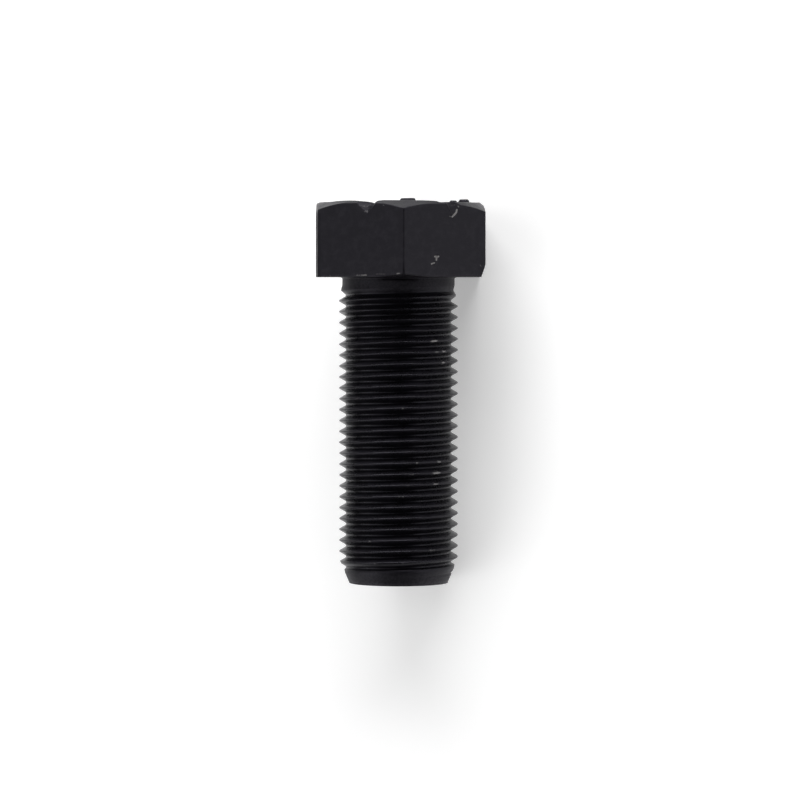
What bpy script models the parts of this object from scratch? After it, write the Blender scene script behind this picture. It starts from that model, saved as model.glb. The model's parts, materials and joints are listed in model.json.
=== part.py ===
"""A hexagon head screw of blackened steel with a fine right-hand thread up to its head.

The screw is modelled on its own axis, with the face under its head at z = 0, the head above
it and the shank below. It is then laid on its side, as it would come to rest: on the lower
edge of one flat of its head and on the last crest of its thread, with its head towards +Y.
All sizes are in metres.
"""

import math

import bmesh
import bpy
from mathutils import Matrix, Vector

# Head
ACROSS_FLATS = 0.0305
HEAD_HEIGHT = 0.0138
CROWN_RIM = 0.00075  # from the middle of a flat's upper edge in to the flat circle on top
CROWN_ANGLE = math.radians(30)  # slope of the turned chamfer on the hexagon's corners
HEAD_SHIFT = 0.00027  # the forged head sits this far off the shank's axis, towards +X
DISH_DEPTH = 0.00065  # the top is sunk this far inside its rim
RIM_WIDTH = 0.0009
DISH_WALL = 0.0006  # the sunk floor's edge lies this far inside the rim

# Shank and thread
LENGTH = 0.0561  # from under the head to the end
THREAD_DIAMETER = 0.0218  # over the crests
PITCH = 0.002
FLANK_ANGLE = math.radians(60)  # between the two sides of the groove
CREST_FLAT = PITCH / 8
THREAD_DEPTH = 0.613 * PITCH
NECK_STEP = 0.00058  # the smooth neck lies this far inside the crests
NECK_LENGTH = 0.0016
FILLET_HEIGHT = 0.00012  # a low fillet joins the neck to the face under the head
FILLET_CLEAR = 0.00015  # it reaches this far past the crests, inside a clearance hole
THREAD_START = 0.002  # from under the head to where the groove begins
RUN_OUT_TURNS = 0.9  # the groove deepens over this much of a turn
TIP_STEP = 0.00058  # the edge of the end face lies this far inside the groove's root
TIP_CONE_ANGLE = math.radians(23)  # slope of the chamfer at the end, from the axis

# Raised marks on top of the head, kept as plain bars
BAR_DIRECTION = math.radians(-62.3)  # the bars run this way, round from +X
BAR_HEIGHT = 0.00045  # above the rim
BAR_LENGTH = 0.005
BARS = (  # across and along their direction from the head's middle, and width
    (0.0015, 0.0085, 0.0028),
    (0.0111, 0.0020, 0.0033),
)

# Knocks on the head's upper rim
DENT_REACH = 0.00175  # the scoop's half size towards the axis
DENT_HALF_HEIGHT = 0.00285
DENTS = (  # angle round from +X, depth into the flat circle on top, half width
    (math.radians(-83.0), 0.00105, 0.0016),
    (math.radians(-24.7), 0.00002, 0.0023),
)

# Wear at the lower end of the head's corner towards +X, on the side away from the camera
WEAR_ANGLE = math.radians(27.7)  # it faces this way, round from +X
WEAR_HEIGHT = 0.0024
WEAR_DEPTH = 0.0007

# Fineness
TURN_STEPS = 26  # faces round the shank, and steps in a turn of the groove
CROWN_STEPS = 72
DENT_STEPS = 12

# How far a tool stands past what it cuts, and how deep a joined form is sunk
OVERRUN = 0.0001
SUNK = 0.0003

HEAD_CORNER = ACROSS_FLATS / 2 / math.cos(math.pi / 6)
CROWN_RADIUS = ACROSS_FLATS / 2 - CROWN_RIM
DISH_RADIUS = CROWN_RADIUS - RIM_WIDTH
CREST_RADIUS = THREAD_DIAMETER / 2
ROOT_RADIUS = CREST_RADIUS - THREAD_DEPTH
NECK_RADIUS = CREST_RADIUS - NECK_STEP
FILLET_RADIUS = CREST_RADIUS + FILLET_CLEAR
TIP_RADIUS = ROOT_RADIUS - TIP_STEP
TIP_CONE_LENGTH = (CREST_RADIUS - TIP_RADIUS) / math.tan(TIP_CONE_ANGLE)
MERGE = 1e-6


def clear_scene():
    for old in list(bpy.data.objects):
        bpy.data.objects.remove(old, do_unlink=True)


def new_collection(name):
    collection = bpy.data.collections.new(name)
    bpy.context.scene.collection.children.link(collection)
    return collection


def new_object(name, mesh, collection):
    made = bpy.data.objects.new(name, mesh)
    collection.objects.link(made)
    return made


def mesh_from(name, bm):
    mesh = bpy.data.meshes.new(name)
    bm.to_mesh(mesh)
    bm.free()
    return mesh


def turned(name, profile, steps, collection):
    """A solid turned round the Z axis from (radius, height) points that run down its side."""
    bm = bmesh.new()
    points = [bm.verts.new((radius, 0, height)) for radius, height in profile]
    for upper, lower in zip(points, points[1:]):
        bm.edges.new((upper, lower))
    made = new_object(name, mesh_from(name, bm), collection)
    turning = made.modifiers.new("turning", "SCREW")
    turning.axis = "Z"
    turning.angle = math.tau
    turning.steps = steps
    turning.render_steps = steps
    turning.use_merge_vertices = True
    turning.merge_threshold = MERGE
    turning.use_smooth_shade = False
    return made


def combine(target, tool, operation):
    """Cuts or joins a tool, which is hidden and moves with what it shapes."""
    tool.hide_render = True
    tool.display_type = "WIRE"
    tool.parent = target
    step = target.modifiers.new(f"{operation.lower()} {tool.name}", "BOOLEAN")
    step.operation = operation
    step.solver = "EXACT"
    step.object = tool


def make_blank(collection):
    """The turned shank before its thread is rolled, with its upper end inside the head."""
    inside = 2 * FILLET_RADIUS - NECK_RADIUS  # the fillet's cone goes on as far into the head
    profile = (
        (0, HEAD_HEIGHT / 2),
        (inside, HEAD_HEIGHT / 2),
        (inside, FILLET_HEIGHT),
        (NECK_RADIUS, -FILLET_HEIGHT),
        (NECK_RADIUS, -NECK_LENGTH),
        (CREST_RADIUS, -THREAD_START - PITCH),
        (CREST_RADIUS, TIP_CONE_LENGTH - LENGTH),
        (TIP_RADIUS, -LENGTH),
        (0, -LENGTH),
    )
    return turned("hex_head_screw", profile, TURN_STEPS, collection)


def make_head(collection):
    """The hexagon with a corner towards +X, its top corners cut back by a turned cone, and its
    top sunk inside a rim."""
    bm = bmesh.new()
    bmesh.ops.create_cone(
        bm,
        cap_ends=True,
        segments=6,
        radius1=HEAD_CORNER,
        radius2=HEAD_CORNER,
        depth=HEAD_HEIGHT,
        matrix=Matrix.Translation((HEAD_SHIFT, 0, HEAD_HEIGHT / 2))
        @ Matrix.Rotation(math.pi / 6, 4, "Z"),
    )
    head = new_object("hexagon", mesh_from("hexagon", bm), collection)

    outside = HEAD_CORNER + OVERRUN
    drop = (outside - CROWN_RADIUS) * math.tan(CROWN_ANGLE)
    profile = (
        (0, HEAD_HEIGHT),
        (CROWN_RADIUS, HEAD_HEIGHT),
        (outside, HEAD_HEIGHT - drop),
        (outside, -OVERRUN),
        (0, -OVERRUN),
    )
    crown = turned("crown", profile, CROWN_STEPS, collection)
    crown.location.x = HEAD_SHIFT
    combine(head, crown, "INTERSECT")

    slope = DISH_WALL / DISH_DEPTH
    profile = (
        (0, HEAD_HEIGHT + OVERRUN),
        (DISH_RADIUS + OVERRUN * slope, HEAD_HEIGHT + OVERRUN),
        (DISH_RADIUS - DISH_WALL, HEAD_HEIGHT - DISH_DEPTH),
        (0, HEAD_HEIGHT - DISH_DEPTH),
    )
    dish = turned("dish", profile, CROWN_STEPS, collection)
    dish.location.x = HEAD_SHIFT
    combine(head, dish, "DIFFERENCE")
    return head


def groove_depth_share(turn):
    """How much of its depth the groove has after so many turns from its start."""
    return math.sin(math.pi / 2 * min(1, turn / RUN_OUT_TURNS))


def make_groove(collection):
    """The thread's groove: a blunt V along a right-hand helix, from the neck out past the end."""
    slope = math.tan(FLANK_ANGLE / 2)
    mouth = (PITCH - CREST_FLAT) / 2
    outer = mouth + OVERRUN * slope
    inner = mouth - THREAD_DEPTH * slope
    section = (
        (ROOT_RADIUS, -inner),
        (ROOT_RADIUS, inner),
        (CREST_RADIUS + OVERRUN, outer),
        (CREST_RADIUS + OVERRUN, -outer),
    )
    turns = (LENGTH - THREAD_START) / PITCH + 0.5
    bm = bmesh.new()
    rings = []
    for step in range(math.ceil(turns * TURN_STEPS) + 1):
        turn = step / TURN_STEPS
        lift = (1 - groove_depth_share(turn)) * (THREAD_DEPTH + OVERRUN)
        place = Matrix.Rotation(math.pi / 2 - math.tau * turn, 3, "Z")
        height = -THREAD_START - PITCH * turn
        ring = [bm.verts.new(place @ Vector((radius + lift, 0, height + up))) for radius, up in section]
        rings.append(ring)
    for upper, lower in zip(rings, rings[1:]):
        for corner in range(len(section)):
            bm.faces.new((upper[corner - 1], upper[corner], lower[corner], lower[corner - 1]))
    bm.faces.new(rings[0])
    bm.faces.new(rings[-1])
    bmesh.ops.recalc_face_normals(bm, faces=bm.faces)
    return new_object("groove", mesh_from("groove", bm), collection)


def make_dent(number, angle, depth, half_width, collection):
    """A rounded scoop that takes a bite out of the crown and the flat below it."""
    out = CROWN_RADIUS + DENT_REACH - depth
    place = Matrix.Translation((HEAD_SHIFT, 0, HEAD_HEIGHT)) @ Matrix.Rotation(angle, 4, "Z")
    size = Matrix.Diagonal((DENT_REACH, half_width, DENT_HALF_HEIGHT, 1))
    bm = bmesh.new()
    bmesh.ops.create_uvsphere(
        bm,
        u_segments=DENT_STEPS,
        v_segments=DENT_STEPS // 2,
        radius=1,
        matrix=place @ Matrix.Translation((out, 0, 0)) @ size,
    )
    name = f"dent_{number}"
    return new_object(name, mesh_from(name, bm), collection)


def make_wear(collection):
    """A wedge that takes the lower end off the head's corner towards +X."""
    slant = math.atan2(WEAR_DEPTH, WEAR_HEIGHT)
    reach = HEAD_CORNER * math.cos(WEAR_ANGLE)
    width = HEAD_CORNER + ACROSS_FLATS / 2
    depth = 2 * WEAR_HEIGHT
    bm = bmesh.new()
    bmesh.ops.create_cube(
        bm,
        size=1,
        matrix=Matrix.Translation((HEAD_SHIFT, 0, 0))
        @ Matrix.Rotation(WEAR_ANGLE, 4, "Z")
        @ Matrix.Translation((reach - WEAR_DEPTH, 0, 0))
        @ Matrix.Rotation(slant, 4, "Y")
        @ Matrix.Translation((depth / 2, 0, 0))
        @ Matrix.Diagonal((depth, width, 2 * depth, 1)),
    )
    return new_object("wear", mesh_from("wear", bm), collection)


def make_bar(number, across, along, width, collection):
    """A plain bar that stands in the dish on top of the head, a little higher than its rim."""
    place = Matrix.Translation((HEAD_SHIFT, 0, HEAD_HEIGHT)) @ Matrix.Rotation(BAR_DIRECTION, 4, "Z")
    sunk = DISH_DEPTH + SUNK
    middle = Matrix.Translation((along, across, (BAR_HEIGHT - sunk) / 2))
    size = Matrix.Diagonal((BAR_LENGTH, width, BAR_HEIGHT + sunk, 1))
    bm = bmesh.new()
    bmesh.ops.create_cube(bm, size=1, matrix=place @ middle @ size)
    name = f"bar_{number}"
    return new_object(name, mesh_from(name, bm), collection)


def make_finish():
    """Phosphated and oiled steel, almost black."""
    finish = bpy.data.materials.new("blackened_steel")
    finish.use_nodes = True
    shader = finish.node_tree.nodes["Principled BSDF"]
    shader.inputs["Base Color"].default_value = (0.020, 0.019, 0.023, 1)
    shader.inputs["Metallic"].default_value = 0.6
    shader.inputs["Roughness"].default_value = 0.5
    return finish


def lay_on_side(screw):
    """Turns the screw to rest on its head's lowest edge and on its thread, on the plane z = 0."""
    bpy.context.view_layer.update()
    shape = screw.evaluated_get(bpy.context.evaluated_depsgraph_get())
    points = [vertex.co.copy() for vertex in shape.data.vertices]
    slope = min((ACROSS_FLATS / 2 - p.y) / -p.z for p in points if p.z < -LENGTH / 2)
    turn = Matrix.Rotation(math.atan(slope) - math.pi / 2, 4, "X")
    placed = [turn @ p for p in points]
    lowest = Vector(min(p[axis] for p in placed) for axis in range(3))
    highest = Vector(max(p[axis] for p in placed) for axis in range(3))
    middle = (lowest + highest) / 2
    screw.matrix_world = Matrix.Translation((-middle.x, -middle.y, -lowest.z)) @ turn


def build():
    clear_scene()
    parts = new_collection("damper_screw")
    tools = new_collection("tools")

    screw = make_blank(parts)
    combine(screw, make_head(tools), "UNION")
    for number, dent in enumerate(DENTS, 1):
        combine(screw, make_dent(number, *dent, tools), "DIFFERENCE")
    combine(screw, make_wear(tools), "DIFFERENCE")
    for number, bar in enumerate(BARS, 1):
        combine(screw, make_bar(number, *bar, tools), "UNION")
    combine(screw, make_groove(tools), "DIFFERENCE")
    screw.data.materials.append(make_finish())
    lay_on_side(screw)


build()
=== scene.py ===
"""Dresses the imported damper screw: a knocked and worn hexagon head screw of blackened steel.

The screw is drawn as one closed skin on its own axis, in millimetres, with the face under its
head at height 0 and its head above that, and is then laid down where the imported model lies.
"""

import json
import math

import bmesh
import bpy
import numpy as np
from bpy.props import FloatProperty, FloatVectorProperty, PointerProperty
from mathutils import Matrix, Vector, noise


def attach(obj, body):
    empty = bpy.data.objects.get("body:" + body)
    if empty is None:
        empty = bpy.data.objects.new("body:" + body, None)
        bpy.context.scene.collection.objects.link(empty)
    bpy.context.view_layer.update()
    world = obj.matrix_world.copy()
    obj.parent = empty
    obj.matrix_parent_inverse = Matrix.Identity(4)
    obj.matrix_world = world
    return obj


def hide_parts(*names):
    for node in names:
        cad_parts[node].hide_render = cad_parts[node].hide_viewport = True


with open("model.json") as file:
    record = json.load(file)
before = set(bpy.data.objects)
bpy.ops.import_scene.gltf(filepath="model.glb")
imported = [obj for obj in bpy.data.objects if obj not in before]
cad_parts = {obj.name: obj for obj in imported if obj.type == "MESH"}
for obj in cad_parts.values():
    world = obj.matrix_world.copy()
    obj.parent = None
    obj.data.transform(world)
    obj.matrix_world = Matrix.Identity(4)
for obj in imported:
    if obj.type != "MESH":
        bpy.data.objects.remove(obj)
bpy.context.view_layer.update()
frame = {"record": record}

bl_info = {
    "name": "Damper screw",
    "version": (1, 0, 0),
    "blender": (4, 5, 0),
    "location": "View3D > Sidebar > Damper screw",
    "description": "Draws a worn hexagon head screw and the white table that it lies on",
    "category": "Object",
}

MM = 0.001
CAD_NODE = "hex_head_screw"

MOUNTS = {mount["name"]: mount for mount in frame["record"]["mounts"]}


def mount_point(name):
    return Vector(MOUNTS[name]["pos_m"])


def mount_axis(name):
    return Vector(MOUNTS[name]["axis"]).normalized()


def moved_to(origin, axes):
    """The matrix that takes the world's own axes to three others at an origin."""
    return Matrix.Translation(origin) @ Matrix(axes).transposed().to_4x4()


# The screw's own frame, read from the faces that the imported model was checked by
TOWARDS_HEAD = mount_axis("bearing_face") * -1
DOWNWARDS = mount_axis("spanner_flat_lower")
SIDEWAYS = DOWNWARDS.cross(TOWARDS_HEAD)
LOWER_FLAT = mount_point("spanner_flat_lower")
UPPER_FLAT = mount_point("spanner_flat_upper")
BEARING = mount_point("bearing_face")
END = mount_point("end_face")
ACROSS_FLATS = (LOWER_FLAT - UPPER_FLAT).dot(DOWNWARDS) / MM
LENGTH = (BEARING - END).dot(TOWARDS_HEAD) / MM
DISH_FLOOR = (mount_point("head_top") - BEARING).dot(TOWARDS_HEAD) / MM
SEAT = END + TOWARDS_HEAD * LENGTH * MM
HEAD_SHIFT = ((LOWER_FLAT + UPPER_FLAT) / 2 - SEAT).dot(SIDEWAYS) / MM
LAID_DOWN = moved_to(SEAT, (SIDEWAYS, DOWNWARDS, TOWARDS_HEAD))

# The side that the photograph shows, as an angle round the screw from its own X axis
CAMERA_ANGLE = math.radians(-62.3)


def number_property(name, description, default, **choices):
    return FloatProperty(name=name, description=description, default=default, **choices)


def length_property(name, description, millimetres):
    size = millimetres * MM
    return number_property(name, description, size, unit="LENGTH", precision=5, min=0)


def angle_property(name, description, degrees):
    return number_property(name, description, math.radians(degrees), subtype="ANGLE")


def share_property(name, description, share):
    return number_property(name, description, share, min=0, max=1)


def colour_property(name, description, colour):
    return FloatVectorProperty(
        name=name, description=description, default=colour, subtype="COLOR", size=3, min=0, max=1
    )


class HeadSizes(bpy.types.PropertyGroup):
    """Sizes of the hexagon head."""

    crown_rim: length_property("Crown rim", "From the middle of a flat in to the rim", 0.75)
    crown_angle: angle_property("Crown angle", "Slope of the chamfer on the upper corners", 30)
    corner_radius: length_property("Corner radius", "Roundness of the six upright corners", 0.4)
    lower_edge_radius: length_property("Lower edge radius", "Roundness of the lower edge", 0.13)
    crown_edge_radius: length_property("Crown edge radius", "Roundness below the chamfer", 0.12)
    rim_width: length_property("Rim width", "Width of the level rim on top", 0.9)
    dish_depth: length_property("Dish depth", "How far the top is sunk inside its rim", 0.65)
    dish_wall: length_property("Dish wall", "Width of the slope inside the rim", 0.6)
    bar_height: length_property("Bar height", "How far the plain bars stand above the rim", 0.45)


class ShankSizes(bpy.types.PropertyGroup):
    """Sizes of the neck, the thread and the end."""

    thread_diameter: length_property("Thread diameter", "Over the crests", 21.8)
    pitch: length_property("Pitch", "From one crest to the next", 2.0)
    thread_depth: length_property("Thread depth", "From crest to root", 1.226)
    crest_flat: length_property("Crest flat", "Width of the flat on a crest", 0.25)
    flank_angle: angle_property("Flank angle", "Between the two sides of the groove", 60)
    neck_step: length_property("Neck step", "How far the smooth neck lies inside the crests", 0.58)
    fillet_clear: length_property("Fillet reach", "How far it reaches past the crests", 0.15)
    fillet_height: length_property("Fillet height", "Height of the fillet under the head", 0.3)
    thread_start: length_property("Thread start", "From under the head to the groove's start", 2.0)
    tip_step: length_property("Tip step", "How far the end's edge lies inside the root", 0.58)
    tip_angle: angle_property("Tip angle", "Slope of the chamfer at the end", 23)


class Finish(bpy.types.PropertyGroup):
    """Colours and gloss of the steel."""

    oxide: colour_property("Oxide", "The black finish", (0.0036, 0.0033, 0.0046))
    # Rubbed oxide is also the colour of the painted sheen on the end's sides and on the fillet
    rubbed: colour_property("Rubbed oxide", "Where it is rubbed thin", (0.036, 0.034, 0.039))
    steel: colour_property("Bare steel", "Where the finish is knocked off", (0.17, 0.165, 0.165))
    roughness: share_property("Roughness", "Roughness of the black finish", 0.42)
    grain: share_property("Grain", "Strength of the finish's fine grain", 0.5)


class Studio(bpy.types.PropertyGroup):
    """The table and the light."""

    table: colour_property("Table", "Colour of the table", (0.8, 0.8, 0.8))
    lift: share_property("Table lift", "White that the camera and gloss see on the table", 0.36)
    sky: share_property("Sky", "Strength of the dim light from all round", 0.02)
    light: number_property("Light", "Strength of all the lamps", 1.0, min=0)


class DamperScrewSettings(bpy.types.PropertyGroup):
    """All that a user would change."""

    head: PointerProperty(type=HeadSizes)
    shank: PointerProperty(type=ShankSizes)
    finish: PointerProperty(type=Finish)
    studio: PointerProperty(type=Studio)


def settings():
    return bpy.context.scene.damper_screw


def in_millimetres(group):
    """The group's lengths in millimetres and its other values as they are, by name."""
    values = {}
    for name, kind in group.bl_rna.properties.items():
        if kind.type == "FLOAT":
            value = getattr(group, name)
            values[name] = value / MM if kind.unit == "LENGTH" else value
    return values


def smooth(low, high, value):
    """0 below low, 1 above high and an even S between them."""
    share = np.clip((value - low) / (high - low), 0, 1)
    return share * share * (3 - 2 * share)


SEED_STEP = (17.3, 5.1, 9.7)  # each seed reads the noise this far from the last one's place


def wander(points, scale, seed):
    """Smooth noise from -1 to 1 at points in millimetres, with bumps about scale apart."""
    shift = Vector([seed * step for step in SEED_STEP])
    flat = points.reshape(-1, 3) / scale
    made = np.array([noise.noise(Vector(point) + shift) for point in flat])
    return made.reshape(points.shape[:-1])


def round_points(angle, radius, level):
    """Points at angles round the upright axis, at a distance from it and a height."""
    across, along = np.cos(angle) * radius, np.sin(angle) * radius
    return np.stack(np.broadcast_arrays(across, along, level), axis=-1)


def added(name, data):
    """A new object in the scene."""
    made = bpy.data.objects.new(name, data)
    bpy.context.scene.collection.objects.link(made)
    return made


class Skin:
    """Gathers the points and faces of one surface, with marks at each point: how bare the steel
    is, how rubbed its finish, a mark that also carries painted sheen and painted shade, how
    rough a broken surface and how smoothly rolled."""

    MARKS = ("bare", "rubbed", "broken", "rolled")

    def __init__(self):
        self.points = []
        self.marks = {name: [] for name in self.MARKS}
        self.faces = []
        self.count = 0

    def add(self, points, **marks):
        """Takes an array of points and returns the array of their numbers."""
        shape = points.shape[:-1]
        self.points.append(points.reshape(-1, 3))
        for name, kept in self.marks.items():
            kept.append(np.broadcast_to(marks.get(name, 0.0), shape).reshape(-1))
        numbers = np.arange(self.count, self.count + self.points[-1].shape[0]).reshape(shape)
        self.count = int(numbers.flat[-1]) + 1
        return numbers

    def quads(self, upper, lower, closed=True):
        """Faces between two rows of the same count."""
        if closed:
            upper = np.append(upper, upper[:1])
            lower = np.append(lower, lower[:1])
        for corners in zip(upper, upper[1:], lower[1:], lower):
            kept = [int(n) for k, n in enumerate(corners) if n not in corners[:k]]
            if len(kept) > 2:
                self.faces.append(kept)

    def sheet(self, rows, closed=True):
        for upper, lower in zip(rows, rows[1:]):
            self.quads(upper, lower, closed)

    def mesh(self, name, fills):
        """Makes the mesh, with level faces between the loops of each fill, shaded flat."""
        bm = bmesh.new()
        for point in np.concatenate(self.points):
            bm.verts.new(point)
        for mark, kept in self.marks.items():
            layer = bm.verts.layers.float.new(mark)
            for vert, value in zip(bm.verts, np.concatenate(kept)):
                vert[layer] = value
        verts = list(bm.verts)
        for corners in self.faces:
            bm.faces.new([verts[n] for n in corners])
        for loops in fills:
            edges = []
            for loop in loops:
                for first, second in zip(loop, np.roll(loop, -1)):
                    pair = (verts[first], verts[second])
                    edges.append(bm.edges.get(pair) or bm.edges.new(pair))
            bmesh.ops.triangle_fill(bm, use_beauty=True, edges=edges)
            for edge in edges:
                edge.smooth = False
        bmesh.ops.recalc_face_normals(bm, faces=bm.faces)
        for face in bm.faces:
            face.smooth = True
        mesh = bpy.data.meshes.new(name)
        bm.to_mesh(mesh)
        bm.free()
        return mesh


class Facet:
    """One flat side of a knock: it sinks into a flat of the head to the left of a line on it.

    The line's two ends are (along the flat, height) in millimetres, and slope is how far the
    facet sinks for each millimetre from the line."""

    def __init__(self, start, end, slope, broken):
        self.start = np.array(start, float)
        along = (np.array(end, float) - self.start) / math.dist(start, end)
        self.left = np.array((-along[1], along[0]))
        self.tilt = math.atan(slope)
        self.broken = broken

    def above(self, along, height, depth):
        """How far a point stands proud of the facet."""
        reach = (along - self.start[0]) * self.left[0] + (height - self.start[1]) * self.left[1]
        return reach * math.sin(self.tilt) - depth * math.cos(self.tilt)

    def outward(self, normal, tangent):
        level = normal * math.cos(self.tilt) + tangent * self.left[0] * math.sin(self.tilt)
        return level + np.array((0, 0, self.left[1] * math.sin(self.tilt)))


# The flats that show, as the angles that they face round the screw from its own X axis
LEFT_FLAT = math.radians(-90)
RIGHT_FLAT = math.radians(-30)
SCALY_FLAT = math.radians(-150)  # it shows at a glance, as dull as broken steel

# Knocks: the flat that each is on, the height of the lip that it pushed up, and its facets
KNOCKS = (
    (
        (LEFT_FLAT, 0.04),
        Facet((-0.62, 13.1), (1.42, 11.36), 0.8, 0.35),
        Facet((1.45, 11.36), (3.25, 13.35), 1.9, 1.0),
    ),
    (
        (RIGHT_FLAT, 0.05),
        Facet((0.25, 13.4), (1.85, 10.85), 1.5, 0.7),
        Facet((1.85, 10.8), (3.2, 12.95), 0.62, 0.8),
    ),
    (
        (RIGHT_FLAT, 0.03),
        Facet((-2.35, 3.8), (-1.98, 2.75), 0.3, 0.6),
        Facet((-1.98, 2.75), (-1.42, 3.8), 0.6, 0.6),
        Facet((-1.42, 3.95), (-2.35, 3.85), 0.4, 1.0),
    ),
    (
        (RIGHT_FLAT, 0.02),
        Facet((-2.95, 2.45), (-2.45, 2.05), 0.3, 0.5),
        Facet((-2.45, 2.05), (-2.15, 2.55), 0.6, 0.5),
        Facet((-2.15, 2.65), (-2.95, 2.6), 0.5, 1.0),
    ),
)

# Bare steel on the flats: the flat, places that a line of it runs through (along the flat,
# height), half its width and how bare it is, which is under 0.5 where the finish is only rubbed
BARE_LINES = (
    (RIGHT_FLAT, ((2.58, 12.1), (2.42, 11.61), (2.02, 11.2), (1.6, 10.87)), 0.16, 0.85),
    (RIGHT_FLAT, ((1.6, 10.87), (0.95, 10.91)), 0.13, 0.45),
    (RIGHT_FLAT, ((2.9, 12.75), (2.98, 12.6)), 0.16, 0.46),
    (RIGHT_FLAT, ((0.9, 12.95), (1.7, 12.85), (2.5, 13.05)), 0.12, 0.34),
    (RIGHT_FLAT, ((-2.18, 3.65), (-1.4, 3.66)), 0.17, 0.95),
    (RIGHT_FLAT, ((-1.76, 3.6), (-1.86, 3.0)), 0.16, 0.9),
    (RIGHT_FLAT, ((-2.92, 2.32), (-2.27, 2.5)), 0.14, 0.85),
    (RIGHT_FLAT, ((-2.85, 1.15), (-1.9, 1.12)), 0.08, 0.36),
    (RIGHT_FLAT, ((7.6, 2.15), (7.85, 1.9)), 0.15, 0.46),
    (LEFT_FLAT, ((1.02, 11.9), (1.34, 11.62), (1.3, 11.9)), 0.15, 0.43),
    (LEFT_FLAT, ((0.5, 11.9), (1.2, 11.5)), 0.15, 0.4),
    (LEFT_FLAT, ((-0.2, 12.95), (0.9, 12.6), (1.6, 13.1)), 0.2, 0.36),
    (LEFT_FLAT, ((4.6, 12.95), (4.8, 12.75)), 0.12, 0.5),
    (LEFT_FLAT, ((-0.85, 0.3), (-0.1, 0.3)), 0.14, 0.44),
    (LEFT_FLAT, ((0.25, 0.3), (1.2, 0.32)), 0.16, 0.56),
    (LEFT_FLAT, ((3.15, 0.5), (5.1, 0.5)), 0.13, 0.4),
    (LEFT_FLAT, ((7.45, 0.55), (7.95, 0.62)), 0.16, 0.56),
    (LEFT_FLAT, ((-6.3, 0.3), (-4.4, 0.35)), 0.12, 0.38),
)

# How far the rim on top is beaten down, by degrees round the screw
RIM_DROPS = (
    (-160, 0.0), (-140, 0.16), (-120, 0.14), (-112, 0.04), (-104, 0.0), (-97, 0.03),
    (-93.8, 0.1), (-89, 0.2), (-86.5, 0.26), (-84, 0.4), (-82, 0.55), (-79.6, 0.26),
    (-77, 0.07), (-74, 0.0), (-45, 0.04), (-38, 0.1), (-35.5, 0.16), (-33.4, 0.34),
    (-31, 0.37), (-28.5, 0.31), (-26, 0.28), (2, 0.24), (8, 0.24), (25, 0.12), (50, 0.0),
)

# How far the chamfer's lower edge lies above where a true cone would put it, by degrees
CHAMFER_LIFTS = (
    (-180, 0.1), (-119, 0.18), (-111, 0.25), (-105, 0.23), (-100.6, 0.1), (-96, 0.0),
    (-82, 0.0), (-75, 0.15), (-69.5, 0.22), (-60, 0.28), (-54, 0.22), (-50, 0.16), (-41.5, 0.0),
    (-34, -0.15), (-27, -0.15), (-7, -0.12), (5, -0.22), (40, 0.0), (150, 0.1),
)

# Wear of the head's upright corners: the degrees that it faces, then height and depth of what
# is gone from the upper end and from the lower end
CORNER_WEAR = (
    (0, (1.2, 0.1), (0.8, 0.1)), (27.7, (1.4, 0.1), (2.5, 0.8)),
    (-60, (1.0, 0.06), (0.5, 2.6)), (-62.5, (1.0, 0.0), (3.4, 0.16)),
    (-120, (1.4, 0.12), (0.6, 0.1)), (180, (1.3, 0.08), (0.7, 0.38)),
    (120, (1.1, 0.15), (0.8, 0.15)), (60, (1.5, 0.2), (0.7, 0.1)),
)

# Knocks on the thread's crests: degrees round the screw, distance below the head, half length
# and bareness
CREST_KNOCKS = (
    (-25.5, 11.63, 0.95, 0.68), (-22.2, 13.63, 0.62, 0.52), (-12.9, 13.57, 0.6, 0.62),
    (-13.6, 15.58, 0.5, 0.68), (-48.9, 15.77, 0.45, 0.31), (-58.0, 23.82, 0.34, 0.5),
    (-55.0, 25.8, 0.22, 0.44), (-107.9, 20.1, 0.45, 0.36), (-107.9, 22.1, 0.8, 0.34),
    (-19.2, 33.61, 0.6, 0.58), (-44.4, 33.75, 0.38, 0.46), (-22.4, 35.62, 1.15, 0.64),
    (-49.3, 35.77, 0.65, 0.38), (-80.7, 37.95, 0.44, 0.31), (-52.3, 37.79, 0.75, 0.36),
    (-23.6, 37.63, 0.75, 0.54), (-60.4, 39.84, 0.95, 0.38), (-91.1, 48.01, 0.42, 0.46),
    (-28.4, 49.66, 1.05, 0.44), (-85.8, 51.98, 0.5, 0.42), (-58.0, 51.82, 0.36, 0.4),
    (-86.5, 53.6, 0.3, 0.3), (148.0, 9.7, 0.7, 0.6), (95.0, 21.9, 0.9, 0.55),
    (30.0, 29.3, 0.6, 0.6), (121.0, 41.8, 1.1, 0.5), (200.0, 31.4, 0.6, 0.55),
)

# Columns of points round the head: close together at knocks and corners, and wide elsewhere
CLOSE_COLUMNS = 0.13
WIDE_COLUMNS = 0.46
CORNER_CLOSE = 0.3  # they are close this near to a corner,
KNOCK_CLOSE = 1.0  # this far past a knock, whose middle is taken KNOCK_SHIFT further on,
KNOCK_SHIFT = 0.3
LINE_CLOSE = 0.1  # and this far past a bare line
CORNER_PARTS = 6


def spaced(start, end, step_at):
    """Places from start to end, each a step that depends on the place after the last."""
    places = [start]
    while places[-1] < end:
        places.append(places[-1] + step_at(places[-1]))
    places = np.array(places)
    return start + (places - start) * (end - start) / (places[-1] - start)


def facing(angle):
    """The directions out of and along the side that faces an angle."""
    outward = np.array((math.cos(angle), math.sin(angle), 0))
    return outward, np.array((-outward[1], outward[0], 0))


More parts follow.
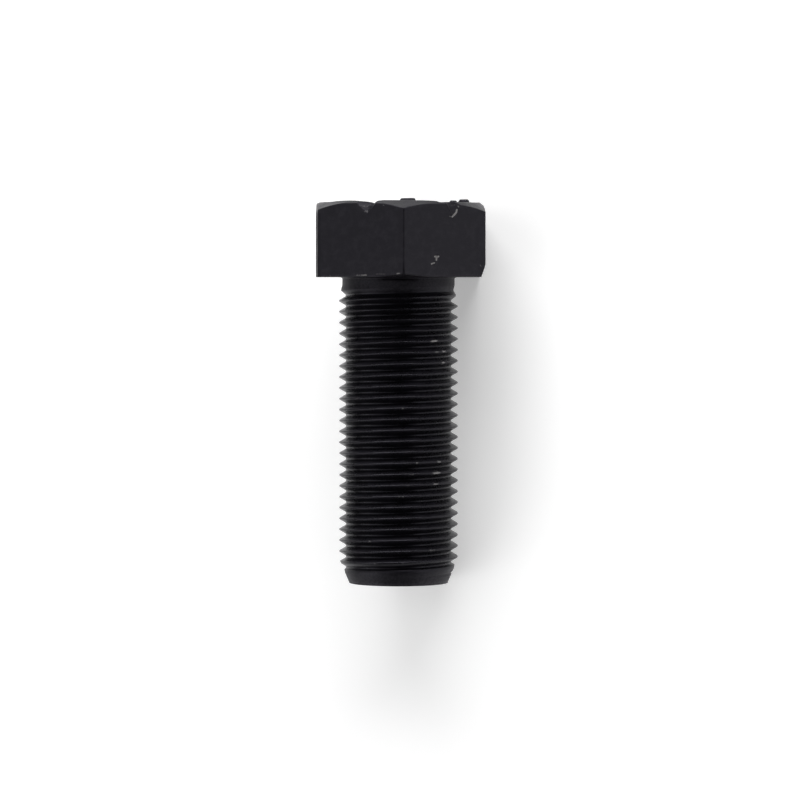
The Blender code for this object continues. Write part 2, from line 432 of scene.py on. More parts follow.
def flat_spots(angle):
    """Middle and half width of each stretch of a flat that needs close columns."""
    stretches = []
    for (flat, _), *facets in KNOCKS:
        stretches.append((flat, [facet.start[0] for facet in facets], KNOCK_SHIFT, KNOCK_CLOSE))
    for flat, places, _, _ in BARE_LINES:
        stretches.append((flat, [along for along, _ in places], 0, LINE_CLOSE))
    spots = []
    for flat, ends, shift, margin in stretches:
        if math.isclose(flat, angle):
            middle = (min(ends) + max(ends)) / 2 + shift
            spots.append((middle, (max(ends) - min(ends)) / 2 + margin))
    return spots


def hexagon_outline(apothem, corner_radius):
    """Points round the hexagon with rounded corners, counter-clockwise."""
    half = (apothem - corner_radius) * math.tan(math.pi / 6)
    outline = []
    for side in range(6):
        angle = math.radians(-150 + 60 * side)
        spots = flat_spots(angle)

        def step_at(place):
            gaps = [half - abs(place) - CORNER_CLOSE]
            gaps += [abs(place - middle) - width for middle, width in spots]
            return min(WIDE_COLUMNS, CLOSE_COLUMNS + max(0, min(gaps)) / 3)

        outward, along = facing(angle)
        for place in spaced(-half, half, step_at):
            outline.append(outward * apothem + along * place)
        middle, _ = facing(angle + math.pi / 6)
        centre = middle * (apothem - corner_radius) / math.cos(math.pi / 6)
        for part in range(1, CORNER_PARTS):
            turned, _ = facing(angle + math.pi / 3 * part / CORNER_PARTS)
            outline.append(centre + turned * corner_radius)
    return np.array(outline)


WEAR_CURVE = 1.25  # worn ends curve outwards a little
WEAR_PAST = 1.3  # and go on past the head's own ends


def worn_corners(points, height):
    """Takes the worn ends off the upright corners."""
    made = points.copy()
    corner = ACROSS_FLATS / 2 / math.cos(math.pi / 6)
    for angle, (top_height, top_depth), (low_height, low_depth) in CORNER_WEAR:
        outward, _ = facing(math.radians(angle))
        reach = corner * math.cos(math.radians((angle + 30) % 60 - 30))
        up = np.clip((made[..., 2] - height + top_height) / top_height, 0, WEAR_PAST)
        down = np.clip((low_height - made[..., 2]) / low_height, 0, WEAR_PAST)
        limit = reach - top_depth * up**WEAR_CURVE - low_depth * down**WEAR_CURVE
        cut = np.maximum(0, made @ outward - limit)
        made = made - cut[..., None] * outward
    return made


LIP_PLACE = 0.09  # the pushed-up lip stands this far outside a knock's edge
LIP_HALF = 0.1
LIP_DEPTH = 0.3  # only points this near to the flat's level are in the lip


def knock(points, apothem, flat, facets, lip):
    """Presses points above all facets of a knock down to them, and says how broken each is."""
    outward, tangent = facing(flat)
    along = points @ tangent
    depth = apothem - points @ outward
    height = points[..., 2]
    proud = np.array([facet.above(along, height, depth) for facet in facets])
    nearest = proud.argmin(0)
    least = proud.min(0)
    made = points.copy()
    broken = np.zeros(height.shape)
    for number, facet in enumerate(facets):
        pressed = (nearest == number) & (least > 0) & (depth < apothem / 2)
        made[pressed] -= least[pressed, None] * facet.outward(outward, tangent)
        broken[pressed] = facet.broken
    ridge = np.clip(1 - np.abs(least + LIP_PLACE) / LIP_HALF, 0, 1) * (np.abs(depth) < LIP_DEPTH)
    made += ridge[..., None] * lip * outward
    return made, broken


def away_from(along, height, places):
    """How far points on a flat are from a line that runs through several places on it."""
    least = np.full(along.shape, np.inf)
    for (start, low), (end, high) in zip(places, places[1:]):
        run, rise = end - start, high - low
        share = np.clip(((along - start) * run + (height - low) * rise) / (run**2 + rise**2), 0, 1)
        distance = np.hypot(along - start - share * run, height - low - share * rise)
        least = np.minimum(least, distance)
    return least


def angle_of(points):
    return np.arctan2(points[..., 1], points[..., 0])


def half_turned(angle):
    """The same angle between half a turn back and half a turn on."""
    return (angle + math.pi) % math.tau - math.pi


def from_camera(points):
    """Degrees round the screw from the side that the camera sees to each point."""
    return np.abs(np.degrees(half_turned(angle_of(points) - CAMERA_ANGLE)))


def by_angle(table, points):
    """A table's value at the angle that each point lies in."""
    angles, values = zip(*table)
    return np.interp(np.degrees(angle_of(points)), angles, values, period=360)


UNDERSIDE_INSET = 3.6  # the row on the underside lies this far inside the flats
FACE_END = 0.5  # a flat's rows are spaced as if it ended this far below the top
LEAST_CHAMFER = 0.15  # height of the chamfer where it is lowest, over a flat's middle
CHAMFER_PARTS = 8
EDGE_PARTS = 3

# Rows of points up a flat: close at both ends and at the small knocks, between these heights
CLOSE_ROWS = 0.11
WIDE_ROWS = 0.4
FOOT_CLOSE = 0.6
SMALL_KNOCKS = (1.9, 3.9)
TOP_CLOSE = 2.7  # from the top down


def head_rows(sizes, height, outline):
    """The head's side, rim and dish wall as rows of points from its underside to its floor."""
    slope = math.tan(sizes["crown_angle"])
    apothem = ACROSS_FLATS / 2
    rim = apothem - sizes["crown_rim"]
    radius = np.linalg.norm(outline, axis=1)
    inward = -outline / radius[:, None]
    edge = sizes["lower_edge_radius"]
    blunt = sizes["crown_edge_radius"]

    # The chamfer's lower edge, found from the worn corner's reach at that height
    lift = by_angle(CHAMFER_LIFTS, outline)
    reach = radius.copy()
    for _ in range(4):
        top = np.minimum(height - (reach - rim) * slope + lift, height - LEAST_CHAMFER)
        worn = worn_corners(np.column_stack((outline[:, :2], top)), height)
        reach = np.linalg.norm(worn[:, :2], axis=1)
    top = top + wander(np.column_stack((outline[:, :2], top)), scale=2.2, seed=3) * 0.05

    def row(inset, level):
        points = outline + inward * np.broadcast_to(inset, radius.shape)[:, None]
        points[:, 2] = level
        return points

    rows = [row(UNDERSIDE_INSET, 0.0)]
    for part in range(EDGE_PARTS + 1):
        turn = math.pi / 2 * part / EDGE_PARTS
        rows.append(row(edge * (1 - math.sin(turn)), edge * (1 - math.cos(turn))))

    def step_at(level):
        low, high = SMALL_KNOCKS
        gaps = (level - FOOT_CLOSE, max(low - level, level - high), height - TOP_CLOSE - level)
        return min(WIDE_ROWS, CLOSE_ROWS + max(0, min(gaps)) / 3)

    levels = spaced(edge, height - FACE_END, step_at)[1:]
    for share in (levels - edge) / (height - FACE_END - edge):
        rows.append(row(0.0, edge + (top - blunt - edge) * share))
    face_rows = len(rows)
    rows = [worn_corners(points, height) for points in rows]

    face_top = rows[-1]
    start = np.linalg.norm(face_top[:, :2], axis=1)
    crown = [(start - blunt * 0.1, top - blunt * 0.7), (start - blunt * 0.3, top - blunt * 0.3)]
    lower = start - blunt * 0.7
    upper = rim + 0.06
    foot = top + blunt * 0.05
    for share in np.linspace(0, 1, CHAMFER_PARTS + 1):
        level = foot + (height - 0.06 * slope - foot) * share
        crown.append((lower + (upper - lower) * share, level))
    dish = rim - sizes["rim_width"]
    wall = sizes["dish_wall"]
    floor = height - sizes["dish_depth"]
    crown += [
        (rim + 0.01, height - 0.012),
        (rim - 0.07, height),
        ((rim + dish) / 2, height),
        (dish + 0.06, height),
        (dish, height - 0.03),
        (dish - wall / 2, (height + floor) / 2),
        (dish - wall, floor + 0.03),
        (dish - wall - 0.07, floor),
    ]
    direction = face_top / start[:, None]
    for away, level in crown:
        points = direction * np.broadcast_to(away, radius.shape)[:, None]
        points[:, 2] = level
        rows.append(points)
    return np.array(rows), face_rows


EDGE_RUBBED = 0.15


def shape_head(skin, sizes):
    """Adds the head's outside and returns the loops that its flat faces are filled from."""
    apothem = ACROSS_FLATS / 2
    height = DISH_FLOOR + sizes["dish_depth"]
    outline = hexagon_outline(apothem, sizes["corner_radius"])
    points, face_rows = head_rows(sizes, height, outline)

    # A forged skin is never quite flat
    uneven = wander(points, scale=5.0, seed=1) * 0.018 + wander(points, scale=1.3, seed=2) * 0.006
    middle = np.linalg.norm(points[..., :2], axis=2, keepdims=True)
    outward = np.concatenate((points[..., :2] / middle, np.zeros_like(middle)), axis=2)
    away = smooth(0.0, 0.6, points[..., 2]) * (points[..., 2] < height - 0.05)
    points = points + outward * (uneven * away)[..., None]

    points[..., 2] = np.minimum(points[..., 2], height - by_angle(RIM_DROPS, points))
    broken = np.zeros(points.shape[:-1])
    for (flat, lip), *facets in KNOCKS:
        points, rough = knock(points, apothem, flat, facets, lip)
        broken = np.maximum(broken, rough)
    points += (wander(points, scale=0.45, seed=4) * 0.05 * broken)[..., None] * outward
    scaly, _ = facing(SCALY_FLAT)
    dull = smooth(apothem - 0.7, apothem - 0.3, points @ scaly)
    broken = np.maximum(broken, dull * smooth(height - 1.5, height - 2.5, points[..., 2]))

    bare = np.zeros(points.shape[:-1])
    for flat, places, half, amount in BARE_LINES:
        out, tangent = facing(flat)
        distance = away_from(points @ tangent, points[..., 2], places)
        near = smooth(1.5 * half, 0.5 * half, distance) * (points @ out > apothem - 2.2)
        bare = np.maximum(bare, near * amount)

    # The finish is thin along both edges of the flats and in patches low on them; on the worn facet
    # under the front corner, on the side that the camera sees, the rubbing is taken off so that it
    # shows dark, as painted shade under the head
    rubbed = np.zeros(points.shape[:-1])
    rubbed[1:6] = EDGE_RUBBED
    patches = 0.5 + wander(points, scale=1.2, seed=9)
    rubbed += smooth(3.5, 0.3, points[..., 2]) * patches * 0.14
    # Painted shade: the rubbing is taken off at the foot of the head on the camera's side
    rubbed *= 1 - smooth(0.55, 0.4, points[..., 2]) * smooth(16, 12, from_camera(points))
    rubbed[face_rows - 1 : face_rows + 3] = EDGE_RUBBED
    points = points + np.array((HEAD_SHIFT, 0, 0))
    numbers = skin.add(points, bare=bare, rubbed=rubbed, broken=broken)
    skin.sheet(numbers)
    return numbers[0], numbers[-1]


# Plain bars on top of the head: places across and along the line towards the camera, width,
# length and how much lower than the highest each is
BARS = (
    (1.45, 8.5, 3.0, 5.0, 0.0),
    (11.75, 0.2, 2.1, 2.8, 0.0),
    (9.8, 0.3, 1.6, 3.0, 0.2),
)
BAR_CORNER = 0.8
BAR_CORNER_PARTS = 5

# Rows up a bar's side: how far in from its foot's outline each is and how far below its top
BAR_ROWS = ((0.05, 0.4), (0.16, 0.16), (0.28, 0.04), (0.42, 0))


def rounded_rectangle(width, length, radius):
    points = []
    for quarter in range(4):
        right = 1 if quarter in (0, 3) else -1
        far = 1 if quarter in (0, 1) else -1
        for part in range(BAR_CORNER_PARTS + 1):
            turn = math.pi / 2 * (quarter + part / BAR_CORNER_PARTS)
            across = right * (width / 2 - radius) + radius * math.cos(turn)
            along = far * (length / 2 - radius) + radius * math.sin(turn)
            points.append((across, along))
    return np.array(points)


def shape_bars(skin, sizes):
    """Adds the bars' sides and returns the loops at their feet and on their tops."""
    towards, right = facing(CAMERA_ANGLE)
    feet, tops = [], []
    for across, along, width, length, low in BARS:
        top = DISH_FLOOR + sizes["dish_depth"] + sizes["bar_height"] - low
        rows = []
        for inset, level in ((0, DISH_FLOOR), *((inset, top - below) for inset, below in BAR_ROWS)):
            both = 2 * inset
            loop = rounded_rectangle(width - both, length - both, BAR_CORNER - inset)
            points = right * (across + loop[:, :1]) + towards * (along + loop[:, 1:])
            rows.append(points + np.array((HEAD_SHIFT, 0, level)))
        points = np.array(rows)
        points[1:, :, 2] += wander(points[1:], scale=1.2, seed=8) * 0.04
        numbers = skin.add(points, rubbed=0.2)
        skin.sheet(numbers)
        feet.append(numbers[0])
        tops.append(numbers[-1])
    return feet, tops


COLUMNS = 224  # points round the shank
NECK_END = 1.0  # below the head, where the thread's rows begin
CONE_START = 1.25  # before the end, where they stop
ROW_GAP = 0.02  # they keep this far from the rows of the neck and the end
RUN_IN = 0.9  # turns over which the groove deepens

# The thread's rows in a turn: the line that each follows, how far below it, how much on a crest.
# Lines 0 and 3 are the groove's edges, 1 and 2 its root's, and 4 is the crest's middle.
TURN_ROWS = (
    (0, -0.04, 1), (0, 0.05, 0.7), (1, -0.05, 0), (1, 0.06, 0), (2, -0.06, 0),
    (2, 0.05, 0), (3, -0.05, 0.7), (3, 0.04, 1), (4, 0, 1),
)

# How full the ridge above the groove is at some turns from the groove's start
RIDGE_TURNS = (0.3, 0.67, 1.17, 1.6)
RIDGE_SHARES = (0, 0.4, 0.42, 1)


class Thread:
    """The height of the thread's surface from the axis, all round and all along it."""

    def __init__(self, sizes):
        self.sizes = sizes
        self.pitch = sizes["pitch"]
        self.crest = sizes["thread_diameter"] / 2
        self.root = self.crest - sizes["thread_depth"]
        self.neck = self.crest - sizes["neck_step"]
        self.tip = self.root - sizes["tip_step"]
        self.flank = math.tan(sizes["flank_angle"] / 2)
        self.root_half = (self.pitch - sizes["crest_flat"]) / 2 - sizes["thread_depth"] * self.flank

    def cone(self, down):
        """Radius of the chamfer at the end, at a distance below the head."""
        return self.tip + (LENGTH - down) * math.tan(self.sizes["tip_angle"])

    def corner(self, down):
        """Half width of the groove where its side meets the crest or the end's chamfer."""
        outer = np.clip(self.cone(down), self.root, self.crest)
        return self.root_half + np.maximum(0.12, (outer - self.root) * self.flank)

    def groove(self, offset):
        """Radius of the full thread, so far along from the middle of its groove."""
        rise = np.maximum(0, np.abs(offset) - self.root_half) / self.flank
        return np.minimum(self.root + rise, self.crest)

    def above_neck(self, radius):
        return np.maximum(0, radius - self.neck) / (self.crest - self.neck)

    def radius(self, start_turn, down):
        """Radius at distances below the head, where the groove starts so many turns on."""
        place = (down - self.sizes["thread_start"]) / self.pitch - start_turn
        near = np.maximum(0, np.round(place))
        offset = (place - near) * self.pitch
        turn = start_turn + near
        full = self.groove(offset)
        low = np.maximum(0, self.neck - full) / (self.neck - self.root)

        # The first ridge falls away to the neck as if one more groove lay above it
        before = place < -0.5
        ended = self.above_neck(self.groove((place + 1) * self.pitch))
        blend = smooth(0.7, 1.0, start_turn)
        up = np.where(before, 1 + (ended - 1) * blend, self.above_neck(full))
        low = np.where(before, 0, low)
        share = np.interp(turn + (offset >= 0), RIDGE_TURNS, RIDGE_SHARES)
        first = (near == 0) & (offset < 0)
        share = np.where(first, share * smooth(1.3, 2.5, down), share)

        raised = (self.crest - self.neck) * up * share
        deepened = np.sin(math.pi / 2 * np.clip(turn / RUN_IN, 0, 1))
        sunk = (self.neck - self.root) * low * deepened
        return np.minimum(self.neck + raised - sunk, self.cone(down))


def crest_marks(angle, down, crest):
    """How bare each point of the thread is."""
    bare = np.zeros(down.shape)
    for degrees, place, half, amount in CREST_KNOCKS:
        arc = np.abs(half_turned(angle - math.radians(degrees))) * crest
        near = smooth(1.5 * half, 0.4 * half, arc) * smooth(0.75, 0.45, np.abs(down - place))
        bare = np.maximum(bare, near * amount)
    return bare


FILLET_PARTS = 6
PLAIN_RUBBED = 0.36  # how rubbed the neck and the end are
PLAIN_DULL = 0.5  # and how dull

# Rows of the ragged groove that ends the fillet: its share in each, and how far below the fillet
UNDERCUT_ROWS = ((0.9, 0.05), (1.0, 0.14), (0.3, 0.22))

# Rows on the end's chamfer: how far before the end each is and how rubbed
CONE_ROWS = ((0.9, 0.4), (0.5, 0.55), (0.25, 0.85), (0.08, 1.0))

# Rows round its edge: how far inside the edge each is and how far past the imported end
END_PAST = 0.12
END_EDGE_ROWS = ((-0.02, 0.04), (0.02, 0.09), (0.1, END_PAST))
END_FACE_RADII = (6.0, 3.0, 1.0)


class Shank:
    """Adds the neck, the thread and the end, in columns of points all round."""

    def __init__(self, skin, sizes):
        self.skin = skin
        self.sizes = sizes
        self.thread = Thread(sizes)
        self.angle = math.tau * np.arange(COLUMNS) / COLUMNS
        self.start_turn = ((math.pi / 2 - self.angle) % math.tau) / math.tau
        self.rim = round_points(self.angle, self.thread.neck, 0.0)
        # Painted light on the end: it is painted lighter on its sides and darker where it faces the
        # camera, as painted sheen and painted shade
        self.end_painted_light = 0.6 + 0.65 * smooth(9, 31, from_camera(self.rim))

    def ring(self, radius, down, rubbed=0.0, broken=PLAIN_DULL):
        points = round_points(self.angle, radius, -down)
        return self.skin.add(points, rubbed=rubbed, broken=broken)

    def shape_neck(self):
        """Returns the row under the head and the row where the thread's rows begin."""
        neck = self.thread.neck
        from_front = from_camera(self.rim)

        # The fillet ends in a short ragged groove on the side of the camera
        ragged = 0.3 + 0.08 * wander(self.rim, scale=0.9, seed=7)
        undercut = ragged * smooth(24, 8, from_front)
        # Painted light: the fillet and its groove are painted lighter down the fillet and away from
        # the camera's side, as painted sheen, and left dark where they face the camera, as painted
        # shade under the head
        rubbed = 0.45 * smooth(5, 24, from_front)

        fillet = self.thread.crest + self.sizes["fillet_clear"]
        low = self.sizes["fillet_height"]
        rows = []
        for part in range(FILLET_PARTS + 1):
            turn = math.pi / 2 * part / FILLET_PARTS
            radius = neck + (fillet - neck) * (1 - math.sin(turn))
            rows.append(self.ring(radius, low * (1 - math.cos(turn)), rubbed * part / FILLET_PARTS))
        for share, below in UNDERCUT_ROWS:
            rows.append(self.ring(neck - undercut * share, low + below, rubbed))
        for down in (0.66, NECK_END):
            rows.append(self.ring(neck, down, PLAIN_RUBBED))
        self.skin.sheet(rows)
        return rows[0], rows[-1]

    def shape_thread(self, neck_row, cone_row):
        """Rows that run with the thread: each keeps its place in the groove all the way round."""
        thread = self.thread
        start, pitch, half = self.sizes["thread_start"], thread.pitch, thread.root_half
        grid = []
        for turn in range(-2, int((LENGTH - start) / pitch) + 2):
            centre = start + pitch * (self.start_turn + turn)
            crest = centre + pitch / 2
            above = thread.corner(centre - pitch / 2)
            below = thread.corner(crest)
            lines = (centre - above, centre - half, centre + half, centre + below, crest)
            grid += [lines[number] + past for number, past, _ in TURN_ROWS]
        down = np.array(grid)
        shares = [share for _, _, share in TURN_ROWS]
        on_crest = np.tile(shares, len(grid) // len(shares))[:, None]

        # Rolled crests are a little uneven
        radius = thread.radius(self.start_turn[None, :], down)
        spots = round_points(self.angle, radius, -down)
        ripple = wander(spots, scale=2.6, seed=5) * 0.022 + wander(spots, scale=0.8, seed=6) * 0.012
        radius = radius + ripple * on_crest * smooth(thread.neck, thread.crest, radius)
        spots = round_points(self.angle, radius, -down)

        tall = smooth(thread.neck, thread.crest, radius)
        near_neck = smooth(3.2, 2.2, down)
        near_end = smooth(LENGTH - 3.2, LENGTH - 1.6, down)
        plain = near_neck + near_end
        # Near the end this takes on the end's painted sheen and painted shade
        worn = near_neck + near_end * self.end_painted_light
        marks = {
            "bare": crest_marks(self.angle[None, :], down, thread.crest) * on_crest,
            "rubbed": on_crest * tall * 0.08 + worn * PLAIN_RUBBED,
            "broken": plain * PLAIN_DULL,
            "rolled": 1 - plain,
        }

        # Rows that run into the neck or the end take that row's own points there
        in_neck = down <= NECK_END + ROW_GAP
        in_end = down >= LENGTH - CONE_START - ROW_GAP
        inside = ~(in_neck | in_end)
        numbers = np.where(in_neck, neck_row[None, :], cone_row[None, :])
        kept = {name: mark[inside] for name, mark in marks.items()}
        numbers[inside] = self.skin.add(spots[inside], **kept)

        # Angle falls as the groove runs down: each row ends a turn's rows above where it began
        order = np.argsort(self.start_turn)
        numbers = numbers[:, order]
        past_end = np.full((len(shares), 1), cone_row[order][0])
        last = np.vstack((numbers[len(shares) :, :1], past_end))
        self.skin.sheet(np.hstack((numbers, last)), closed=False)

    def shape_end(self, cone_row):
        """Returns the innermost row of the end's face."""
        edge = self.thread.tip
        slope = math.tan(self.sizes["tip_angle"])
        rows = [cone_row]
        for back, rubbed in CONE_ROWS:
            # The end's rows are painted lighter at the sides and darker towards the camera, as
            # painted sheen and painted shade
            worn = np.minimum(rubbed * self.end_painted_light, 1)
            rows.append(self.ring(edge + back * slope, LENGTH - back, worn))
        for inset, past in END_EDGE_ROWS:
            rows.append(self.ring(edge - inset, LENGTH + past, 1.0))
        for radius in (edge - 0.6, *END_FACE_RADII):
            rows.append(self.ring(radius, LENGTH + END_PAST, broken=0.0))
        self.skin.sheet(rows)
        return rows[-1]


def shape_shank(skin, sizes):
    """Adds the whole shank and returns the loops under the head and on the end's face."""
    shank = Shank(skin, sizes)
    under_head, neck_row = shank.shape_neck()
    stop = LENGTH - CONE_START
    # The first row on the end's chamfer takes the end's painted sheen and painted shade
    cone_row = shank.ring(shank.thread.cone(stop), stop, PLAIN_RUBBED * shank.end_painted_light, 0.4)
    shank.shape_thread(neck_row, cone_row)
    return under_head, shank.shape_end(cone_row)


def draw_screw():
    """The whole screw as one closed skin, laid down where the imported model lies."""
    skin = Skin()
    head = in_millimetres(settings().head)
    underside, floor = shape_head(skin, head)
    feet, tops = shape_bars(skin, head)
    under_head, end = shape_shank(skin, in_millimetres(settings().shank))
    fills = [[underside, under_head], [floor, *feet], [end]]
    fills += [[loop] for loop in tops]
    mesh = skin.mesh("damper_screw", fills)
    mesh.transform(LAID_DOWN @ Matrix.Scale(MM, 4))
    for vertex in mesh.vertices:
        vertex.co.z = max(0, vertex.co.z)  # what rests on the table is pressed level
    screw = added("damper_screw", mesh)
    even = screw.modifiers.new("even shading", "WEIGHTED_NORMAL")
    even.mode = "FACE_AREA"
    even.keep_sharp = True
    return screw


class Wire:
    """An output of a node, on which Python's operators lay Math nodes."""

    def __init__(self, web, socket):
        self.web = web
        self.socket = socket

    def math(self, operation, first, second):
        return self.web.node("ShaderNodeMath", {"operation": operation}, {0: first, 1: second})

    def __add__(self, other):
        return self.math("ADD", self, other)

    def __sub__(self, other):
        return self.math("SUBTRACT", self, other)

    def __rsub__(self, other):
        return self.math("SUBTRACT", other, self)

    def __mul__(self, other):
        return self.math("MULTIPLY", self, other)

    __radd__ = __add__

    def between(self, low, high):
        """0 where the value is below low, 1 where it is above high."""
        inputs = {"Value": self, "From Min": low, "From Max": high}
        return self.web.node("ShaderNodeMapRange", {"interpolation_type": "SMOOTHSTEP"}, inputs)


class Web:
    """The node tree of a material."""

    def __init__(self, name):
        self.material = bpy.data.materials.new(name)
        self.material.use_nodes = True
        self.tree = self.material.node_tree
        self.tree.nodes.clear()

    def node(self, kind, choices=None, inputs=None, output=0):
        """Adds a node, makes its choices, fills its inputs and returns one of its outputs."""
        made = self.tree.nodes.new(kind)
        for name, value in (choices or {}).items():
            setattr(made, name, value)
        for key, value in (inputs or {}).items():
            if isinstance(value, Wire):
                self.tree.links.new(value.socket, made.inputs[key])
            else:
                made.inputs[key].default_value = value
        return Wire(self, made.outputs[output])

    def blend(self, factor, first, second):
        """A colour that goes from the first to the second."""
        inputs = {"Factor": factor, "A": first, "B": second}
        return self.node("ShaderNodeMix", {"data_type": "RGBA"}, inputs, "Result")

    def noise(self, place, scale, detail, roughness):
        inputs = {"Vector": place, "Scale": scale, "Detail": detail, "Roughness": roughness}
        return self.node("ShaderNodeTexNoise", None, inputs, "Fac")

    def finish(self, shader):
        output = self.tree.nodes.new("ShaderNodeOutputMaterial")
        self.tree.links.new(shader.socket, output.inputs["Surface"])
        return self.material


def opaque(colour, share=1.0):
    return (*(part * share for part in colour), 1)


def blackened_steel():
    """Black oxide on steel: fine grain, faint blotches, rubbed edges, painted sheen and painted
    shade through the rubbed mark, and bare steel in knocks.
    """
    finish = settings().finish
    web = Web("blackened_steel")
    place = web.node("ShaderNodeTexCoord", None, None, "Object")
    bare, rubbed, broken, rolled = [
        web.node("ShaderNodeAttribute", {"attribute_name": mark}, None, "Fac")
        for mark in Skin.MARKS
    ]

    blotches = web.noise(place, scale=420, detail=4, roughness=0.6)
    specks = web.noise(place, scale=2600, detail=2, roughness=0.6)
    grain = web.noise(place, scale=9000, detail=2, roughness=0.5)
    patches = web.noise(place, scale=650, detail=4, roughness=0.65)
    patches = patches.between(0.42, 0.72) * (1 - rolled)

    dark, light = opaque(finish.oxide, 0.82), opaque(finish.oxide, 1.2)
    oxide = web.blend(blotches.between(0.3, 0.7), dark, light)
    # The rubbed mark also brings in painted sheen and painted shade here
    thin = rubbed * specks.between(0.2, 0.7) + patches * 0.13
    oxide_worn_and_painted_light = web.blend(thin, oxide, opaque(finish.rubbed))
    exposed = (bare + (specks - 0.5) * 0.5).between(0.28, 0.72) * bare.between(0.02, 0.1)
    colour = web.blend(exposed, oxide_worn_and_painted_light, opaque(finish.steel))

    rough = finish.roughness + (blotches - 0.5) * 0.3 + (specks - 0.5) * 0.2
    rough = rough - rubbed * 0.05 + broken * 0.28 - rolled * 0.12
    bumps = grain * 0.4 + specks * 0.6 + blotches * 0.8
    bump = {"Strength": finish.grain, "Distance": 0.05 * MM, "Height": bumps}
    inputs = {
        "Base Color": colour,
        "Metallic": exposed,
        "Roughness": rough,
        "Normal": web.node("ShaderNodeBump", None, bump),
        "Specular IOR Level": 0.2,
        "Specular Tint": (0.88, 0.85, 1.0, 1),
    }
    return web.finish(web.node("ShaderNodeBsdfPrincipled", None, inputs))


def table_finish():
    """A pale matt table that the camera and gloss see as white, with the object's shadow."""
    studio = settings().studio
    web = Web("pale_table")
    matt = web.node("ShaderNodeBsdfDiffuse", None, {"Color": opaque(studio.table)})
    rays = ("Is Camera Ray", "Is Glossy Ray", "Is Transmission Ray")
    straight, gloss, through = [web.node("ShaderNodeLightPath", None, None, ray) for ray in rays]
    white = {"Color": (1, 1, 1, 1), "Strength": (straight + gloss + through) * studio.lift}
    glow = web.node("ShaderNodeEmission", None, white)
    return web.finish(web.node("ShaderNodeAddShader", None, {0: matt, 1: glow}))


TABLE_RADII = (0.25, 1.0, 4.0)
COVE_RADIUS = 0.6
COVE_PARTS = 12
TABLE_STEPS = 96


def lay_table():
    """A wide round table whose edge curves up, so that its white reaches past the horizon."""
    profile = [(radius, 0.0) for radius in TABLE_RADII]
    for part in range(1, COVE_PARTS + 1):
        turn = math.pi / 2 * part / COVE_PARTS
        radius = TABLE_RADII[-1] + COVE_RADIUS * math.sin(turn)
        profile.append((radius, COVE_RADIUS * (1 - math.cos(turn))))
    skin = Skin()
    turn = math.tau * np.arange(TABLE_STEPS) / TABLE_STEPS
    rings = [skin.add(round_points(turn, radius, height)) for radius, height in profile]
    skin.sheet(rings)
    table = added("table", skin.mesh("table", [[rings[0]]]))
    table.data.materials.append(table_finish())


# Lamps: name, degrees round from +X and up, distance, width, height and watts
LAMPS = (
    ("lamp_behind_head", 84, 25, 0.75, 0.9, 0.45, 8.8),
    ("lamp_left", 180, 50, 0.8, 1.0, 0.8, 2.2),
    ("lamp_right", 0, 14, 0.75, 0.9, 0.3, 1.3),
    ("lamp_foot", -135, 35, 0.8, 0.6, 0.5, 1.8),
    ("lamp_above", 0, 89, 0.8, 0.5, 0.5, 0.65),
)
LAMPS_AIM = Vector((0, 0, 0.015))


def hang_lamps():
    for name, round_from_x, up, distance, width, height, watts in LAMPS:
        level, _ = facing(math.radians(round_from_x))
        lift = math.radians(up)
        away = Vector(level * math.cos(lift)) + Vector((0, 0, math.sin(lift)))
        lamp = bpy.data.lights.new(name, "AREA")
        lamp.shape = "RECTANGLE"
        lamp.size, lamp.size_y = width, height
        lamp.energy = watts * settings().studio.light
        made = added(name, lamp)
        made.location = LAMPS_AIM + away * distance
        made.rotation_mode = "QUATERNION"
        made.rotation_quaternion = away.to_track_quat("Z", "Y")
        made.visible_camera = False


CAMERA_DISTANCE = 689.0  # from the screw's axis
CAMERA_LEVEL = -2.8  # height along the screw, from under its head
AIM_LEVEL = -22.58  # height of what it looks at
AIM_SIDE = 0.28  # to the right of the axis
CAMERA_LENS = 168.7
SENSOR_WIDTH = 36


def place_camera():
    """Looks at the screw as the photograph does, with its head up in the picture."""
    towards, right = facing(CAMERA_ANGLE)
    eye_spot = towards * CAMERA_DISTANCE + np.array((0, 0, CAMERA_LEVEL))
    aim_spot = right * AIM_SIDE + np.array((0, 0, AIM_LEVEL))
    eye, aim = [LAID_DOWN @ (Vector(spot) * MM) for spot in (eye_spot, aim_spot)]
    backward = (eye - aim).normalized()
    across = TOWARDS_HEAD.cross(backward).normalized()
    upward = backward.cross(across)
    camera = added("camera", bpy.data.cameras.new("camera"))
    camera.data.lens = CAMERA_LENS
    camera.data.sensor_width = SENSOR_WIDTH
    camera.data.clip_start = 0.01
    camera.data.clip_end = 50
    camera.matrix_world = moved_to(eye, (across, upward, backward))
    bpy.context.scene.camera = camera


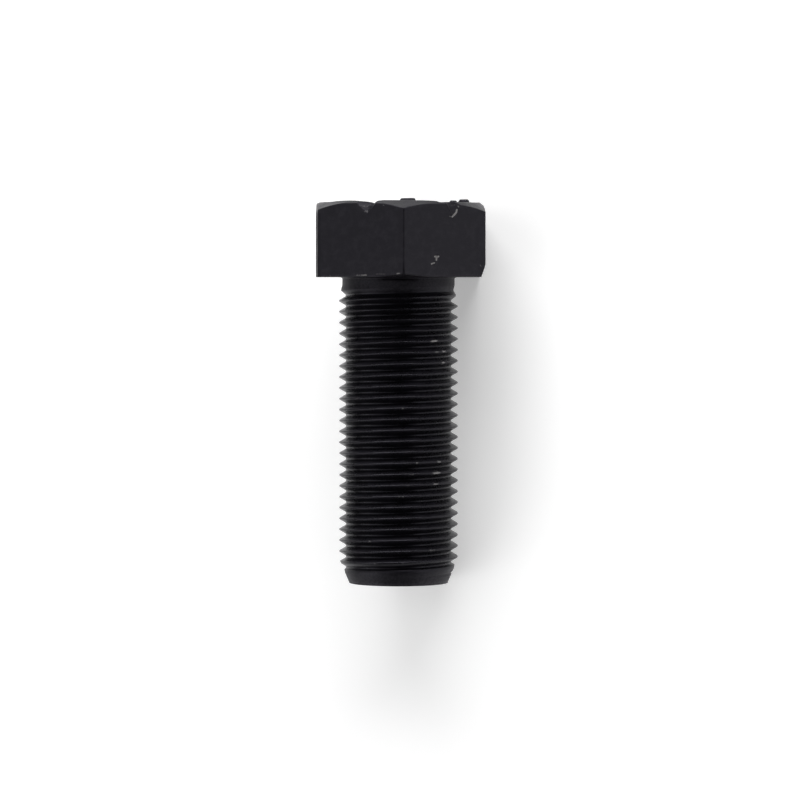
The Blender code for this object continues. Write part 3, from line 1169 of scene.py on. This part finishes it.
def dim_sky():
    world = bpy.data.worlds.new("dim_sky")
    bpy.context.scene.world = world
    world.use_nodes = True
    sky = world.node_tree.nodes["Background"]
    sky.inputs["Color"].default_value = (1, 1, 1, 1)
    sky.inputs["Strength"].default_value = settings().studio.sky


class DAMPER_OT_make_screw(bpy.types.Operator):
    """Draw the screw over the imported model"""

    bl_idname = "damper.make_screw"
    bl_label = "Make the screw"

    def execute(self, context):
        screw = draw_screw()
        screw.data.materials.append(blackened_steel())
        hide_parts(CAD_NODE)
        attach(screw, "root")
        return {"FINISHED"}


class DAMPER_OT_set_stage(bpy.types.Operator):
    """Lay the table, hang the lamps and place the camera"""

    bl_idname = "damper.set_stage"
    bl_label = "Set the stage"

    def execute(self, context):
        lay_table()
        hang_lamps()
        dim_sky()
        place_camera()
        context.scene.view_settings.view_transform = "Standard"
        return {"FINISHED"}


class DAMPER_PT_panel(bpy.types.Panel):
    bl_label = "Damper screw"
    bl_idname = "DAMPER_PT_panel"
    bl_space_type = "VIEW_3D"
    bl_region_type = "UI"
    bl_category = "Damper screw"

    def draw(self, context):
        layout = self.layout
        for group in ("head", "shank", "finish", "studio"):
            box = layout.box()
            box.label(text=group.capitalize())
            values = getattr(context.scene.damper_screw, group)
            for name in values.bl_rna.properties.keys():
                if name not in ("rna_type", "name"):
                    box.prop(values, name)
        layout.operator(DAMPER_OT_make_screw.bl_idname)
        layout.operator(DAMPER_OT_set_stage.bl_idname)


CLASSES = (
    HeadSizes,
    ShankSizes,
    Finish,
    Studio,
    DamperScrewSettings,
    DAMPER_OT_make_screw,
    DAMPER_OT_set_stage,
    DAMPER_PT_panel,
)


def register():
    for kind in CLASSES:
        bpy.utils.register_class(kind)
    bpy.types.Scene.damper_screw = PointerProperty(type=DamperScrewSettings)


def unregister():
    del bpy.types.Scene.damper_screw
    for kind in reversed(CLASSES):
        bpy.utils.unregister_class(kind)


def main():
    register()
    bpy.ops.damper.make_screw()
    bpy.ops.damper.set_stage()


if __name__ == "__main__":
    main()
